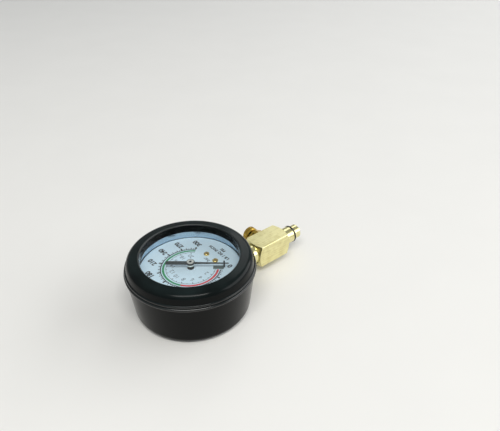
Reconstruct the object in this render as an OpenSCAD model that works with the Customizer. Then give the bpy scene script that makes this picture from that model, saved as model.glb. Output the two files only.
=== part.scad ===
// Gauge of an engine compression tester: a round dial gauge in a rubber boot, with a square
// brass block on its stem that carries the hose nose and the pressure release valve.
// Lengths are in millimetres. The origin is the centre of the boot's flat back. +Z points out
// of the dial, +Y is the top of the dial and the stem runs along -Y.

/* [Dial and case] */
// Diameter of the dial plate
dial_d = 63; // [58:0.5:70]
// Thickness of the dial plate
dial_t = 0.4; // [0.3:0.1:0.8]
// Gap between the dial plate and the case wall
dial_gap = 0.5; // [0.2:0.1:1.5]
// Hole in the dial for the pointer arbor
dial_hole_d = 4.4; // [3:0.1:6]
// Sheet thickness of the steel case
case_wall = 0.8; // [0.6:0.1:1.2]
// Radius of the drawn corner at the back of the case
case_corner = 2.2; // [1.5:0.1:3]
// Width of the flange at the rim of the case
flange_w = 1.6; // [1.2:0.1:2.5]

/* [Lens and bezel] */
// Gap between the pointer arbor and the lens
lens_clear = 0.3; // [0.2:0.1:1]
// Thickness of the gasket under the lens
gasket_t = 0.6; // [0.4:0.1:1]
// Thickness of the lens
lens_t = 1.2; // [1:0.1:2]
// Sheet thickness of the bezel ring
bezel_t = 0.7; // [0.5:0.1:1]
// Width of the bezel's face over the lens
bezel_lip = 3.4; // [3:0.1:4]

/* [Rubber boot] */
// Thickness of the boot's back
boot_floor = 3; // [2.6:0.1:4]
// Wall outside the case at the back
boot_back_wall = 3.4; // [3:0.1:5]
// Wall outside the case at the bead
boot_body_wall = 6.8; // [5:0.1:8]
// Wall outside the bezel at the foot of the rim
boot_rim_wall = 4.25; // [3.5:0.05:5]
// How much the rim narrows from its foot to its shoulder
rim_draft = 0.8; // [0.5:0.1:1.5]
// Height of the rim over the bezel
boot_lip = 4.8; // [4:0.1:5.5]
// Radius of the rim's outer shoulder
rim_round = 4; // [3:0.1:4.5]
// Fall of the front face from the window to the shoulder
rim_fall = 0.5; // [0.2:0.1:0.8]
// Radius of the edge round the back
back_round = 5; // [3:0.1:5.5]
// Radius of the section of both beads
bead_r = 1; // [0.7:0.1:1.2]
// How far the lower bead stands proud of the wall below it
bead_stand = 0.9; // [0.5:0.1:1.2]
// How far the upper bead stands proud of the foot of the rim
bead_step = 0.6; // [0.3:0.1:0.8]
// Distance between the beads
bead_pitch = 2; // [1.8:0.1:2.4]
// Distance of the lower bead below the rim of the case
bead_drop = 2.4; // [1.5:0.1:3]
// How far the rim reaches inwards past the bezel
window_cover = 1; // [0.6:0.1:1.5]
// How much wider the window is at the front than at the lens
window_flare = 0.4; // [0.2:0.1:0.8]
// Radius of the front edge of the window
window_edge = 0.9; // [0.5:0.1:1.2]
// Gap round the stem where it leaves the boot
boot_stem_gap = 1.5; // [0.5:0.1:2.5]

/* [Stem and socket] */
// Height of the stem axis above the back
stem_h = 14; // [13:0.1:17]
// Width of the socket bar inside the case
socket_w = 13; // [12:0.1:15]
// Thickness of the socket bar inside the case
socket_t = 11.2; // [10.6:0.1:12]
// Distance from the dial axis to the near end of the socket bar
socket_reach = 11; // [9:0.1:12]
// Width of the foot that stands on the back of the case
foot_w = 10; // [8:0.1:12]
// Length of the foot that stands on the back of the case
foot_len = 12; // [11:0.1:14]
// Diameter of the round shank through the case and the boot
shank_d = 13.2; // [11:0.1:13.6]
// Width across the wrench flats
wrench_af = 14; // [13:0.1:17]
// Length of the wrench flats
wrench_len = 5.6; // [4:0.1:10]
// Gap between the boot and the wrench flats
wrench_gap = 2; // [1:0.1:4]
// Diameter of the stem's male thread
stem_thread_d = 11; // [10:0.1:11.4]
// Length of the stem's male thread
stem_thread_len = 8.5; // [6:0.1:9]
// Diameter of the pressure port through the stem
port_d = 3.2; // [2:0.1:3.6]
// Thickness of the sealing washer
washer_t = 1.2; // [0.8:0.1:2]
// Outer diameter of the sealing washer
washer_d = 14.6; // [14:0.1:15.5]

/* [Brass block] */
// Width across the flats of the square bar
block_af = 16; // [15:0.1:18]
// Break of the bar's long edges
block_edge = 0.35; // [0.2:0.05:0.8]
// Length of the bar between its turned ends
block_len = 27.4; // [26:0.1:34]
// Diameter at which the turned end chamfers start
block_face_d = 15.2; // [14.8:0.1:15.6]
// Angle of the turned end chamfers
block_chamfer = 30; // [20:1:40]
// Diameter of the neck on the gauge side
gauge_neck_d = 13.8; // [13:0.1:14.4]
// Length of the neck on the gauge side
gauge_neck_len = 3.6; // [2.5:0.1:6]
// Diameter of the neck on the hose side
hose_neck_d = 11.6; // [11:0.1:12.2]
// Length of the neck on the hose side
hose_neck_len = 7.3; // [5:0.1:10]
// Diameter of the hose nose
nose_d = 9.8; // [9:0.1:10.4]
// Length of the hose nose
nose_len = 5.3; // [4:0.1:8]
// Chamfer at the end of the hose nose
nose_chamfer = 0.5; // [0.3:0.1:0.8]
// Bore of the hose nose
nose_bore_d = 4.4; // [3:0.1:5]
// Bore through the block
block_bore_d = 7.4; // [7.2:0.1:8]
// Width of the groove for the O-ring
groove_w = 1.8; // [1.7:0.1:2.4]
// Section diameter of the O-ring
oring_section = 1.6; // [1.4:0.1:1.7]
// Outer diameter of the O-ring
oring_d = 12.2; // [12:0.1:12.6]

/* [Release valve] */
// Diameter of the valve body's thread
valve_thread_d = 6.8; // [6.4:0.1:7.2]
// Depth of the valve seat below the block's face
valve_seat_depth = 4.4; // [4:0.1:4.6]
// Width across the flats of the valve body's collar
valve_collar_af = 11.4; // [10:0.1:12]
// Height of the valve body's collar
valve_collar_h = 5.4; // [4.5:0.1:7]
// Diameter of the valve stem
valve_stem_d = 2.2; // [1.8:0.1:2.4]
// Thickness of the valve stem's flange
valve_flange_t = 0.8; // [0.6:0.1:1]
// Diameter of the valve stem's flange and of its seal
valve_flange_d = 4.8; // [4.4:0.1:5.2]
// Thickness of the valve seal
valve_seal_t = 1.4; // [1:0.1:1.5]
// Diameter of the release button
button_d = 10.8; // [10:0.1:13]
// Thickness of the release button
button_t = 4.2; // [3.8:0.1:6]
// Gap between the button and the collar
button_gap = 2.5; // [2.3:0.1:3.5]
// Number of flutes round the button
button_flutes = 28; // [16:1:32]
// Radius of one flute
flute_r = 0.35; // [0.2:0.05:0.45]
// Diameter of the vent hole in the valve body's collar
vent_d = 1.4; // [0.8:0.1:1.6]
// Wire diameter of the valve spring
spring_wire = 0.5; // [0.3:0.05:0.55]
// Number of turns of the valve spring
spring_turns = 9; // [7:1:11]

/* [Pointer] */
// Angle of the pointer at rest, from three o'clock towards twelve o'clock
rest_angle = 228.7; // [226:0.1:230]
// Reach of the pointer's tip from the dial axis
pointer_tip = 23.4; // [20:0.1:24]
// Reach of the pointer's tail from the dial axis
pointer_tail = 15.3; // [10:0.1:16]
// Width of the pointer's tail
pointer_tail_w = 2.8; // [2:0.1:3.2]
// Width of the pointer's arm at the hub
pointer_arm_w = 1.8; // [1.4:0.1:2.4]
// Width of the pointer's tip
pointer_tip_w = 0.5; // [0.4:0.1:0.8]
// Thickness of the pointer
pointer_t = 0.5; // [0.4:0.1:0.8]
// Height of the pointer over the dial face
pointer_h = 3.4; // [3:0.1:3.5]
// Diameter of the pointer's hub
hub_d = 5.2; // [4.4:0.1:6]
// Height of the hub over the pointer
hub_h = 0.8; // [0.5:0.1:1]
// Diameter of the pointer arbor
arbor_d = 1.5; // [1.2:0.1:1.8]
// Diameter of the stop pin
stop_pin_d = 1; // [0.8:0.1:1.4]
// Distance of the stop pin from the dial axis
stop_pin_at = 20.6; // [19:0.1:22]

/* [Movement] */
// Module of the gear teeth
gear_module = 0.3; // [0.28:0.005:0.31]
// Teeth of the pinion
pinion_teeth = 12; // [11:1:13]
// Teeth of the whole circle that the sector is cut from
sector_teeth = 108; // [104:1:110]
// Backlash at the pitch circle
backlash = 0.14; // [0.1:0.01:0.2]
// Direction of the sector's pivot from the dial axis
sector_dir = -48; // [-50:1:-46]
// Travel of the pointer from rest to full scale
pointer_travel = 274; // [250:1:280]
// Length of the sector's tail
tail_len = 6.5; // [6:0.1:7]
// Length of the link between its pins
link_len = 10; // [9.5:0.1:11]
// Thickness of the movement plates
plate_t = 1; // [0.8:0.1:1.2]
// Space between the movement plates
plate_gap = 4.1; // [3.9:0.1:4.6]
// Space between the movement and the dial
dial_lift = 1.5; // [1.2:0.1:1.8]
// Radius of the rounded corners of the plates
plate_round = 5; // [4.4:0.1:5.2]
// Pillars of the movement, seen from the front
pillar_points = [[-8.5, -11.5], [15.5, -18.2], [5.5, 6.5]];
// Diameter of a pillar
pillar_d = 3.2; // [2.8:0.1:3.4]
// Thickness of the sector gear
sector_t = 1; // [0.8:0.1:1.1]
// Diameter of the link pins
link_pin_d = 1.2; // [1:0.1:1.4]
// Slack of the link on the tube end's pin
link_slack = 0.2; // [0.18:0.01:0.3]
// Turns of the hairspring
hairspring_turns = 4; // [3:1:5]
// Outer radius of the hairspring
hairspring_r = 6.2; // [5.6:0.1:6.6]
// Thickness of the hairspring strip
hairspring_t = 0.2; // [0.15:0.01:0.3]

/* [Bourdon tube] */
// Radius of the tube's centre line
tube_r = 24.5; // [24:0.1:25.5]
// Thickness of the tube across its flats
tube_w = 4; // [3.4:0.1:4.4]
// Height of the tube's section
tube_h = 9; // [8:0.1:9.2]
// Wall of the tube
tube_wall = 0.5; // [0.3:0.05:0.8]
// Sweep of the tube round the dial axis, which ends in the socket
tube_sweep = 270; // [268:1:272]

/* [Screws] */
// Positions of the dial screws, seen from the front
dial_screw_points = [[-4.5, -15.5], [4.5, -15.5]];
// Diameter of the dial screws' heads
dial_head_d = 3.6; // [3:0.1:3.8]
// Height of the dial screws' heads
dial_head_h = 0.9; // [0.6:0.1:1.2]
// Shank diameter of the small screws
small_screw_d = 1.8; // [1.6:0.1:2]
// Positions of the screws that hold the movement on the socket
movement_screw_points = [[-3.5, -15], [3.5, -15]];
// Distance between the screws that hold the socket in the case
socket_screw_pitch = 7; // [6:0.1:8]
// Shank diameter of the socket screws
socket_screw_d = 3; // [2.5:0.1:3.5]
// Head diameter of the socket screws
socket_head_d = 5.4; // [5:0.1:6]
// Head height of the socket screws
socket_head_h = 1.4; // [1:0.1:1.6]

/* [Hidden] */
$fn = 96;

// Clearance between pieces that seat in each other
fit = 0.05;
// Running clearance of a shaft in its hole
run_fit = 0.03;
// Overrun of a cut past the face that it opens
cut = 1;
// Depth to which a neck of the block runs into its bar
root = 1;
// Share of a round corner's radius at which the sides of a plate stand
side_share = 0.99;

// Levels of the movement and the pointer, from the stem up to the lens
socket_z = stem_h - socket_t / 2;
back_plate_z = socket_z + socket_t;
gear_z = back_plate_z + plate_t;
front_plate_z = gear_z + plate_gap;
front_plate_top = front_plate_z + plate_t;
gear_rise = 0.4;
sector_z = gear_z + gear_rise;
link_t = 0.6;
link_lift = 0.15;
link_z = sector_z + sector_t + link_lift;
collet_h = 1;
collet_gap = 0.3;
collet_z = front_plate_z - collet_h - collet_gap;
hairspring_h = 0.7;
hairspring_z = collet_z + (collet_h - hairspring_h) / 2;
collet_r = 1.8;
dial_z = front_plate_top + dial_lift;
dial_top = dial_z + dial_t;
pointer_z = dial_top + pointer_h;
pointer_top = pointer_z + pointer_t;
hub_top = pointer_top + hub_h;
hub_bore_r = 1.2;
arbor_over = 0.2;
arbor_top = hub_top + arbor_over;

// Heights and radii of the case, the lens and the bezel
case_r_in = dial_d / 2 + dial_gap;
case_r = case_r_in + case_wall;
case_z = boot_floor;
lens_z = arbor_top + lens_clear;
rim_z = lens_z - gasket_t;
flange_r = case_r + flange_w;
lens_top = lens_z + lens_t;
bezel_r = flange_r + fit + bezel_t;
bezel_r_in = flange_r - bezel_lip;
bezel_top = lens_top + bezel_t;
bezel_base = rim_z - case_wall - fit - bezel_t;

// Profile of the boot
boot_back_r = case_r + boot_back_wall;
boot_body_r = case_r + boot_body_wall;
boot_rim_r = bezel_r + boot_rim_wall;
bead_z = rim_z - bead_drop;
rim_foot_z = bead_z + bead_pitch;
crest_z = bezel_top + boot_lip;
boot_taper = atan((boot_body_r - boot_back_r) / bead_z);
back_round_at = boot_back_r - back_round * (1 - sin(boot_taper)) / cos(boot_taper);
window_r = bezel_r_in - window_cover;
window_mid = [window_r + window_flare + window_edge, crest_z - window_edge];
shoulder_mid = [boot_rim_r - rim_draft - rim_round, crest_z - rim_fall - rim_round];

// Distances along the stem from the dial axis
boot_at_stem = boot_back_r + stem_h * tan(boot_taper);
bar_end = sqrt(pow(case_r_in, 2) - pow(socket_w / 2, 2)) - fit;
wrench_at = boot_at_stem + wrench_gap;
washer_at = wrench_at + wrench_len;
block_at = washer_at + washer_t;
shoulder_at = block_at + gauge_neck_len;
block_end = shoulder_at + block_len;
groove_at = block_end + hose_neck_len;
nose_at = groove_at + groove_w;
nose_end = nose_at + nose_len;
valve_y = shoulder_at + block_len / 2;
groove_r = oring_d / 2 - oring_section - fit;

// Distances along the valve axis from the stem axis
valve_face = block_af / 2;
valve_seat = valve_face - valve_seat_depth;
collar_top = valve_face + valve_collar_h;
button_at = collar_top + button_gap;
button_end = button_at + button_t;
button_recess = 0.8;
valve_flange_at = valve_seat - valve_seal_t - valve_flange_t;
button_face_t = 1.2;
valve_stem_end = button_end - button_face_t;
spring_room = 0.35;
spring_r = valve_stem_d / 2 + spring_room + spring_wire / 2;
spring_pocket_r = spring_r + spring_wire / 2 + spring_room;
spring_floor = 1.8;
spring_pocket = valve_face - spring_floor;
vent_below = 1.8;
vent_turn = 150;

// Gear train
pinion_r = gear_module * pinion_teeth / 2;
sector_r = gear_module * sector_teeth / 2;
sector_travel = pointer_travel * pinion_teeth / sector_teeth;
sector_pos = (pinion_r + sector_r) * [cos(sector_dir), sin(sector_dir)];
sector_hub_r = 2.6;
sector_arbor_d = 1.8;
mesh_dir = sector_dir + 180;
tooth_step = 360 / sector_teeth;
lead_in = 2;
sector_count = ceil(sector_travel / tooth_step) + 2 * lead_in;
tail_angle = -sector_travel / 2;
tail_pos = sector_pos + tail_len * [cos(tail_angle), sin(tail_angle)];
tip_pos = tail_pos + [0, link_len];
tail_end_r = 1.6;
link_end_r = 1.6;
pin_head_w = 0.4;
pin_head_r = link_pin_d / 2 + pin_head_w;
pin_head_h = 0.3;
pressure_angle = 20;
pinion_addendum = gear_module;
pinion_dedendum = 1.2 * gear_module;
sector_addendum = 0.75 * gear_module;
sector_dedendum = 1.3 * gear_module;
flank_steps = 5;

// Half the width of the pointer's arm at the stop pin, which stands just behind the arm
stop_gap = 0.1;
arm_half = (pointer_arm_w + (pointer_tip_w - pointer_arm_w) * stop_pin_at / pointer_tip) / 2;
stop_angle = rest_angle + asin((arm_half + stop_gap + stop_pin_d / 2) / stop_pin_at);
stop_pin_pos = stop_pin_at * [cos(stop_angle), sin(stop_angle)];

// Screws inside the case
plate_screw_depth = 2.5;
plate_head_h = 0.7;
plate_head_w = 0.6;
plate_head_d = small_screw_d + 2 * plate_head_w;
movement_screw_len = 5;
socket_screw_depth = 5;
foot_in = 2.5;
foot_mid = tube_r - foot_in;
socket_screw_at = [foot_mid - socket_screw_pitch / 2, foot_mid + socket_screw_pitch / 2];

// Free end of the tube
tip_wall = 0.4;
tip_len = 4.5;
tip_tab_t = 1.2;
tip_tab_r = 1.5;
tip_top = stem_h + tube_h / 2 + tip_wall;

boot_color = "#1d2222";
steel_color = "#b9bfc4";
brass_color = "#d6cf8d";
gold_color = "#d8b64a";
white_color = "#e6eef2";
black_color = "#15171a";

// Places its children on the stem axis, at a distance from the dial axis, pointing away from it
module along_stem(distance) {
    translate([0, -distance, stem_h]) rotate([90, 0, 0]) children();
}

// Places its children on the valve axis, at a distance from the stem axis
module along_valve(distance) {
    translate([distance, -valve_y, stem_h]) rotate([0, 90, 0]) children();
}

// Upright cylinder between two heights
module post(pos, r, z0, z1) {
    translate([pos.x, pos.y, z0]) cylinder(r = r, h = z1 - z0);
}

module ring(r_out, r_in, h) {
    difference() {
        cylinder(r = r_out, h = h);
        translate([0, 0, -cut]) cylinder(r = r_in, h = h + 2 * cut);
    }
}

// Direction to the right of a line from a to b
function right_of(a, b) = let (d = (b - a) / norm(b - a)) [d.y, -d.x];

// Outline with round corners of radius r about points that run anticlockwise; two points give a
// bar. The sides stand a little inside the corners' circles and cross them.
module rounded_outline(points, r) {
    n = len(points);
    side = side_share * r;
    for (p = points) translate(p) circle(r);
    polygon(joined([for (i = [0 : n - 1])
        let (before = points[(i + n - 1) % n], here = points[i], after = points[(i + 1) % n])
        [here + side * right_of(before, here), here + side * right_of(here, after)]]));
}

// Slotted screw head with a rounded edge, standing on z = 0
module screw_head(d, h) {
    slot_w = d / 6;
    difference() {
        rotate_extrude() {
            square([d / 2 - h / 2, h]);
            square([d / 2, h / 2]);
            translate([d / 2 - h / 2, h / 2]) circle(h / 2);
        }
        translate([-d, -slot_w / 2, h / 2]) cube([2 * d, slot_w, h]);
    }
}

// Section of the tube, standing across the radius
module tube_section(grow) {
    w = tube_w + 2 * grow;
    h = tube_h + 2 * grow;
    for (side = [-1, 1]) translate([tube_r, side * (h - w) / 2]) circle(d = w);
    translate([tube_r - w / 2, -(h - w) / 2]) square([w, h - w]);
}

// Involute function of the angle between the base circle and a radius, in degrees
function involute(r, base_r) = let (a = acos(min(1, base_r / r))) tan(a) * 180 / PI - a;

// Half the angle of a tooth at a radius
function tooth_half(r, teeth, play) =
    let (pitch_r = gear_module * teeth / 2, base_r = pitch_r * cos(pressure_angle))
    90 / teeth - play / (4 * pitch_r) * 180 / PI
    + involute(pitch_r, base_r) - involute(max(r, base_r), base_r);

// Outline points of one tooth, from its root up over its tip and down again
function tooth_points(at, teeth, addendum, dedendum, play) =
    let (pitch_r = gear_module * teeth / 2)
    let (radii = [for (k = [0 : flank_steps])
        pitch_r - dedendum + k * (addendum + dedendum) / flank_steps])
    concat(
        [for (k = [0 : flank_steps]) let (a = at - tooth_half(radii[k], teeth, play))
            radii[k] * [cos(a), sin(a)]],
        [for (k = [flank_steps : -1 : 0]) let (a = at + tooth_half(radii[k], teeth, play))
            radii[k] * [cos(a), sin(a)]]);

function joined(lists) = [for (list = lists) for (item = list) item];

// Points of a tube of small round section swept along a helix, one ring of points a step
function coil_points(r, wire_r, pitch, steps, turn_steps, sides) =
    [for (i = [0 : steps]) for (k = [0 : sides - 1])
        let (a = 360 * i / turn_steps, b = 360 * k / sides, out = r + wire_r * cos(b))
        [out * cos(a), out * sin(a), pitch * i / turn_steps + wire_r * sin(b)]];

function coil_faces(steps, sides) = concat(
    [[for (k = [0 : sides - 1]) k]],
    [for (i = [0 : steps - 1]) for (k = [0 : sides - 1])
        let (next = (k + 1) % sides)
        [i * sides + next, i * sides + k, (i + 1) * sides + k, (i + 1) * sides + next]],
    [[for (k = [sides - 1 : -1 : 0]) steps * sides + k]]);

// Angle on the rim's shoulder at which a straight line from a point meets it; side is 1 or -1
function shoulder_angle(from, side) =
    let (d = from - shoulder_mid) atan2(d.y, d.x) + side * acos(rim_round / norm(d));

function on_shoulder(angle) = shoulder_mid + rim_round * [cos(angle), sin(angle)];

// Outer outline of the boot, in radius and height
module boot_outline() {
    polygon([
        [0, 0],
        [back_round_at, 0],
        [back_round_at + back_round * cos(boot_taper), back_round * (1 - sin(boot_taper))],
        [boot_body_r, bead_z],
        [boot_rim_r, rim_foot_z],
        on_shoulder(shoulder_angle([boot_rim_r, rim_foot_z], 1)),
        on_shoulder(shoulder_angle([window_mid.x, crest_z], -1)),
        [window_mid.x, crest_z],
        [window_mid.x - window_edge, window_mid.y],
        [window_r, lens_top + fit],
        [0, lens_top + fit]]);
    translate([back_round_at, back_round]) circle(back_round);
    translate([boot_body_r + bead_stand - bead_r, bead_z]) circle(bead_r);
    translate([boot_rim_r + bead_step - bead_r, rim_foot_z]) circle(bead_r);
    translate(shoulder_mid) circle(rim_round);
    translate(window_mid) circle(window_edge);
}

// Room in the boot for the case, the bezel and the lens
module boot_room() {
    polygon([
        [0, case_z],
        [case_r + fit, case_z],
        [case_r + fit, bezel_base - fit],
        [bezel_r + fit, bezel_base - fit],
        [bezel_r + fit, bezel_top + fit],
        [bezel_r_in - fit, bezel_top + fit],
        [bezel_r_in - fit, lens_top + fit],
        [0, lens_top + fit]]);
}

// Cup outline with a round corner at its foot, in radius and height
module cup_outline(r, z, corner, top) {
    polygon([[0, z], [r - corner, z], [r, z + corner], [r, top], [0, top]]);
    translate([r - corner, z + corner]) circle(corner);
}

module rubber_boot() {
    color(boot_color) difference() {
        rotate_extrude() difference() {
            boot_outline();
            boot_room();
        }
        along_stem(case_r_in) cylinder(r = shank_d / 2 + boot_stem_gap, h = boot_rim_r);
        for (d = socket_screw_at)
            post([0, -d], socket_head_d / 2 + fit, boot_floor - socket_head_h - fit, boot_floor + cut);
    }
}

module gauge_case() {
    color(steel_color) difference() {
        rotate_extrude() {
            difference() {
                cup_outline(case_r, case_z, case_corner, rim_z);
                cup_outline(case_r_in, case_z + case_wall, case_corner - case_wall, rim_z + cut);
            }
            translate([case_r_in, rim_z - case_wall]) square([case_wall + flange_w, case_wall]);
        }
        along_stem(bar_end) cylinder(r = shank_d / 2 + fit, h = case_r);
        for (d = socket_screw_at)
            post([0, -d], socket_screw_d / 2 + fit, case_z - cut, case_z + case_wall + cut);
    }
}

module bezel_ring() {
    color(steel_color) rotate_extrude() difference() {
        translate([bezel_r_in, bezel_base]) square([bezel_r - bezel_r_in, bezel_top - bezel_base]);
        translate([0, bezel_base + bezel_t])
            square([flange_r + fit, lens_top - bezel_base - bezel_t]);
        translate([0, bezel_base]) square([case_r + fit, bezel_t]);
    }
}

module lens() {
    color("#cfe3ee", 0.3) translate([0, 0, lens_z]) cylinder(r = flange_r - fit, h = lens_t);
}

module lens_gasket() {
    color(black_color) translate([0, 0, rim_z]) ring(flange_r - fit, case_r_in, gasket_t);
}

module dial() {
    color(white_color) difference() {
        translate([0, 0, dial_z]) cylinder(d = dial_d, h = dial_t);
        post([0, 0], dial_hole_d / 2, dial_z - cut, dial_top + cut);
        for (p = dial_screw_points) post(p, small_screw_d / 2 + fit, dial_z - cut, dial_top + cut);
        post(stop_pin_pos, stop_pin_d / 2 + fit, dial_z - cut, dial_top + cut);
    }
}

module dial_spacers() {
    color(brass_color) for (p = dial_screw_points)
        translate([p.x, p.y, front_plate_top])
            ring(dial_head_d / 2, small_screw_d / 2 + fit, dial_z - front_plate_top);
}

module dial_screws() {
    color(gold_color) for (p = dial_screw_points) {
        post(p, small_screw_d / 2, front_plate_z, dial_top);
        translate([p.x, p.y, dial_top]) screw_head(dial_head_d, dial_head_h);
    }
}

module stop_pin() {
    pin_over = 0.7;
    color(gold_color) post(stop_pin_pos, stop_pin_d / 2, dial_z, pointer_top + pin_over);
}

module pointer() {
    color(black_color) translate([0, 0, pointer_z]) rotate(rest_angle) linear_extrude(pointer_t)
        difference() {
            union() {
                polygon([
                    [0, -pointer_arm_w / 2], [pointer_tip, -pointer_tip_w / 2],
                    [pointer_tip, pointer_tip_w / 2], [0, pointer_arm_w / 2]]);
                translate([-pointer_tail, -pointer_tail_w / 2]) square([pointer_tail, pointer_tail_w]);
                circle(d = hub_d);
            }
            circle(hub_bore_r + fit);
        }
}

module pointer_hub() {
    barrel_h = 1.6;
    barrel_wall = 0.6;
    crown = 0.25;
    color(brass_color) difference() {
        rotate_extrude() {
            translate([0, pointer_top]) square([hub_d / 2 - crown, hub_h]);
            translate([0, pointer_top]) square([hub_d / 2, hub_h - crown]);
            translate([hub_d / 2 - crown, hub_top - crown]) circle(crown);
            translate([0, pointer_z]) square([hub_bore_r, pointer_t]);
            translate([0, pointer_z - barrel_h]) square([hub_bore_r + barrel_wall, barrel_h]);
        }
        post([0, 0], arbor_d / 2 + fit, pointer_z - barrel_h - cut, hub_top + cut);
    }
}

module pointer_arbor() {
    pinion_h = sector_t + 2 * gear_rise;
    color(steel_color) {
        post([0, 0], arbor_d / 2, back_plate_z + fit, arbor_top);
        translate([0, 0, sector_z - gear_rise + run_fit]) linear_extrude(pinion_h) polygon(joined(
            [for (i = [0 : pinion_teeth - 1])
                tooth_points(sector_dir + 360 * i / pinion_teeth, pinion_teeth,
                    pinion_addendum, pinion_dedendum, backlash)]));
    }
}

module hairspring_collet() {
    color(gold_color) translate([0, 0, collet_z]) ring(collet_r, arbor_d / 2 + fit, collet_h);
}

// Radius of the hairspring after a share of its turns
function hairspring_at(share) =
    let (inner = collet_r + fit + hairspring_t / 2)
    inner + (hairspring_r - inner) * share;

module hairspring() {
    turn_steps = 40;
    steps = turn_steps * hairspring_turns;
    step = 360 / turn_steps;
    color("#8fa3b5") translate([0, 0, hairspring_z]) linear_extrude(hairspring_h) polygon(concat(
        [for (i = [0 : steps]) let (r = hairspring_at(i / steps) + hairspring_t / 2)
            r * [cos(step * i), sin(step * i)]],
        [for (i = [steps : -1 : 0]) let (r = hairspring_at(i / steps) - hairspring_t / 2)
            r * [cos(step * i), sin(step * i)]]));
}

module hairspring_stud() {
    stud_d = 1.2;
    stud_at = hairspring_r + hairspring_t / 2 + fit + stud_d / 2;
    color(gold_color) post([stud_at, 0], stud_d / 2, hairspring_z, front_plate_z);
}

// Movement plate with the holes for both arbors
module plate(z) {
    translate([0, 0, z]) linear_extrude(plate_t) difference() {
        rounded_outline(pillar_points, plate_round);
        circle(arbor_d / 2 + run_fit);
        translate(sector_pos) circle(sector_arbor_d / 2 + run_fit);
        children();
    }
}

module front_plate() {
    color(brass_color) plate(front_plate_z) {
        for (p = concat(pillar_points, dial_screw_points)) translate(p) circle(small_screw_d / 2 + fit);
    }
}

module back_plate() {
    color(brass_color) plate(back_plate_z) {
        for (p = movement_screw_points) translate(p) circle(small_screw_d / 2 + fit);
    }
}

module plate_pillars() {
    color(brass_color) for (p = pillar_points) difference() {
        post(p, pillar_d / 2, gear_z, front_plate_z);
        post(p, small_screw_d / 2 + fit, front_plate_z - plate_screw_depth, front_plate_z + cut);
    }
}

module plate_screws() {
    color(steel_color) for (p = pillar_points) {
        post(p, small_screw_d / 2, front_plate_z - plate_screw_depth, front_plate_top);
        translate([p.x, p.y, front_plate_top]) screw_head(plate_head_d, plate_head_h);
    }
}

module movement_screws() {
    color(steel_color) for (p = movement_screw_points) {
        post(p, small_screw_d / 2, gear_z - movement_screw_len, gear_z);
        translate([p.x, p.y, gear_z]) screw_head(plate_head_d, plate_head_h);
    }
}

module sector_gear() {
    rim_w = 2.4;
    hub_w = 2;
    window_side = 7;
    window_r0 = sector_hub_r + hub_w;
    window_r1 = sector_r - rim_w;
    span = (sector_count - 1) * tooth_step;
    // The teeth run on from a tooth space that faces the pinion at rest
    last_at = mesh_dir + (lead_in - 0.5) * tooth_step;
    color(gold_color) translate([sector_pos.x, sector_pos.y, sector_z]) {
        linear_extrude(sector_t) difference() {
            union() {
                polygon(concat([[0, 0]], joined([for (i = [sector_count - 1 : -1 : 0])
                    tooth_points(last_at - i * tooth_step, sector_teeth,
                        sector_addendum, sector_dedendum, backlash)])));
                circle(sector_hub_r);
                rounded_outline([[0, 0], tail_pos - sector_pos], tail_end_r);
            }
            circle(sector_arbor_d / 2 + fit);
            translate(tail_pos - sector_pos) circle(link_pin_d / 2 + fit);
            intersection() {
                difference() {
                    circle(window_r1);
                    circle(window_r0);
                }
                polygon([[0, 0],
                    2 * sector_r * [cos(last_at - window_side), sin(last_at - window_side)],
                    2 * sector_r * [cos(last_at - span + window_side), sin(last_at - span + window_side)]]);
            }
        }
    }
}

module sector_arbor() {
    collar_h = 0.3;
    collar_w = 1.2;
    color(steel_color) translate([sector_pos.x, sector_pos.y, 0]) {
        post([0, 0], sector_arbor_d / 2, back_plate_z + fit, front_plate_top);
        translate([0, 0, sector_z + sector_t])
            ring(sector_arbor_d / 2 + collar_w, sector_arbor_d / 2, collar_h);
    }
}

// Pin with a head that keeps the link on it
module headed_pin(pos, z0) {
    color(steel_color) {
        post(pos, link_pin_d / 2, z0, link_z + link_t + link_lift);
        post(pos, pin_head_r, link_z + link_t + link_lift, link_z + link_t + link_lift + pin_head_h);
    }
}

module link_pin() {
    headed_pin(tail_pos, sector_z);
}

module tip_pin() {
    headed_pin(tip_pos, tip_top - tip_tab_t);
}

module link_bar() {
    color(gold_color) translate([0, 0, link_z]) linear_extrude(link_t) difference() {
        rounded_outline([tail_pos, tip_pos], link_end_r);
        translate(tail_pos) circle(link_pin_d / 2 + run_fit);
        translate(tip_pos) circle(link_pin_d / 2 + link_slack);
    }
}

module tube_tip() {
    block_w = tube_w + 2 * tip_wall;
    block_h = tube_h + 2 * tip_wall;
    color(gold_color) difference() {
        union() {
            translate([tube_r - block_w / 2, -tip_len - fit, stem_h - block_h / 2])
                cube([block_w, tip_len, block_h]);
            translate([0, 0, tip_top - tip_tab_t]) linear_extrude(tip_tab_t)
                rounded_outline([tip_pos, [tube_r, -tip_len / 2 - fit]], tip_tab_r);
        }
        post(tip_pos, link_pin_d / 2 + fit, tip_top - tip_tab_t - cut, tip_top + cut);
    }
}

module bourdon_tube() {
    color(brass_color) translate([0, 0, stem_h]) rotate_extrude(angle = tube_sweep) difference() {
        tube_section(0);
        tube_section(-tube_wall);
    }
}

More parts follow.
